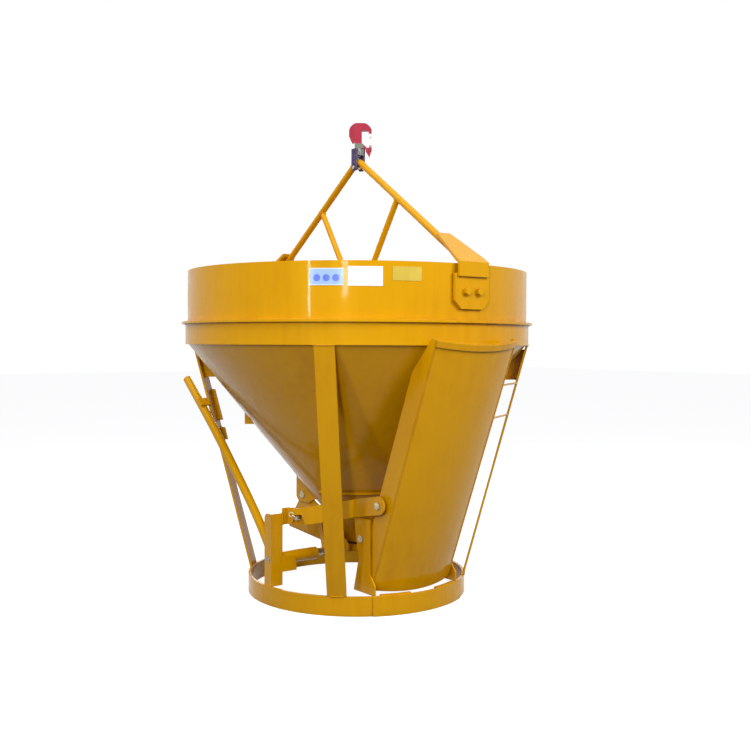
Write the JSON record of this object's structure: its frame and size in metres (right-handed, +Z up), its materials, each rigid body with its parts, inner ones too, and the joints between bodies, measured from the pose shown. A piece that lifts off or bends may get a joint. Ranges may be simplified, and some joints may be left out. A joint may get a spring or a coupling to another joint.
{
  "type": "concrete bucket",
  "caption": "Crane-lifted concrete bucket: conical steel hopper on legs, lever-worked bottom gate, fold-down chute with stay bar, bail with swivel hook",
  "frame": {"origin": "on the hopper's vertical axis at the underside of the base ring", "axes": "+Z up, +X towards the side where the chute discharges, -Y towards the side with the gate lever"},
  "size_m": [1.6227, 1.5518, 2.0843],
  "materials": {
    "yellow_paint": "gloss enamel paint",
    "seal_rubber": "matt rubber",
    "blue_plate": "printed plate, plain",
    "white_plate": "printed plate, plain",
    "lime_plate": "printed plate, plain",
    "zinc_steel": "zinc plated",
    "bare_steel": "turned steel, oiled",
    "hook_steel": "dark purple passivated steel",
    "swivel_grey": "grey green forged steel",
    "hook_red": "crimson powder coat"
  },
  "bodies": {
    "frame": {"bail_bar": "yellow_paint", "bail_brackets": "yellow_paint", "bail_foot_plates": "yellow_paint", "bail_struts": "yellow_paint", "base_ring": "yellow_paint", "bracket_bolts": "zinc_steel", "bracket_nuts": "zinc_steel", "bracket_washers": "zinc_steel", "chute_hook_rods": "yellow_paint", "chute_rest_strips": "yellow_paint", "chute_uprights": "yellow_paint", "gate_hangers": "yellow_paint", "gate_pivot_bolts": "zinc_steel", "hopper_cone": "yellow_paint", "label_blue": "blue_plate", "label_white": "white_plate", "label_yellow": "lime_plate", "leg_back_left": "yellow_paint", "leg_back_right": "yellow_paint", "leg_chute_left": "yellow_paint", "leg_chute_right": "yellow_paint", "leg_ribs": "yellow_paint", "lever_stop": "yellow_paint", "outlet_collar": "yellow_paint", "outlet_neck": "yellow_paint", "post_angle": "yellow_paint", "rim_anchor_plates": "yellow_paint", "rim_band": "yellow_paint", "rim_flange": "yellow_paint", "rim_shell": "yellow_paint", "ring_strap": "yellow_paint", "shackle_pin": "bare_steel", "shackle_plates": "hook_steel", "shaft_sleeve": "yellow_paint", "stay_lug": "yellow_paint", "stay_pin": "bare_steel", "swivel_block": "swivel_grey", "tie_bar": "yellow_paint", "welded_lugs": "yellow_paint"},
    "lever": {"lever_shaft": "bare_steel", "lever_hub": "yellow_paint", "lever_tube": "yellow_paint", "lever_crank": "yellow_paint", "crank_pin": "bare_steel"},
    "gate": {"gate_flap": "yellow_paint", "gate_seal": "seal_rubber", "gate_cheek_left": "yellow_paint", "gate_cheek_right": "yellow_paint"},
    "chute": {"chute_floor": "yellow_paint", "chute_mouth_strip": "yellow_paint", "chute_sides": "yellow_paint", "chute_bolts": "zinc_steel", "chute_nuts": "zinc_steel", "stay_spacer": "yellow_paint"},
    "stay": {"stay_bar": "yellow_paint"},
    "clip": {"stay_clip": "zinc_steel"},
    "hook": {"hook_body": "hook_red", "hook_stem_nut": "hook_steel"},
    "latch": {"hook_latch": "hook_red"}
  },
  "joints": [
    {"name": "lever_turn", "type": "hinge", "parent": "frame", "child": "lever", "pos_m": [0.027, -0.452, 0.19], "axis": [0, -1, 0], "range_deg": [0, 45]},
    {"name": "gate_swing", "type": "hinge", "parent": "frame", "child": "gate", "pos_m": [-0.165, 0, 0.415], "axis": [0, 1, 0], "range_deg": [0, 47.6]},
    {"name": "chute_fold", "type": "hinge", "parent": "frame", "child": "chute", "pos_m": [0.34, 0, 0.3], "axis": [0, 1, 0], "range_deg": [0, 82]},
    {"name": "stay_lift", "type": "hinge", "parent": "chute", "child": "stay", "pos_m": [0.47, -0.227, 0.455], "axis": [0, 1, 0], "range_deg": [0, 15]},
    {"name": "clip_pull", "type": "slide", "parent": "frame", "child": "clip", "axis": [-0.673, -0.545, 0.5], "range_m": [0, 0.045]},
    {"name": "hook_swivel", "type": "hinge", "parent": "frame", "child": "hook", "pos_m": [0, 0, 1.95], "axis": [0, 0, 1], "continuous": true},
    {"name": "latch_swing", "type": "hinge", "parent": "hook", "child": "latch", "pos_m": [0.03136, 0.04396, 1.98053], "axis": [0.8141, -0.5807, 0], "range_deg": [0, 32], "stiffness_Nm_per_rad": 0.05, "springref_deg": -17.19}
  ],
  "couplings": [
    {"joint": "gate_swing", "follows": "lever_turn", "ratio": 1.0564}
  ]
}
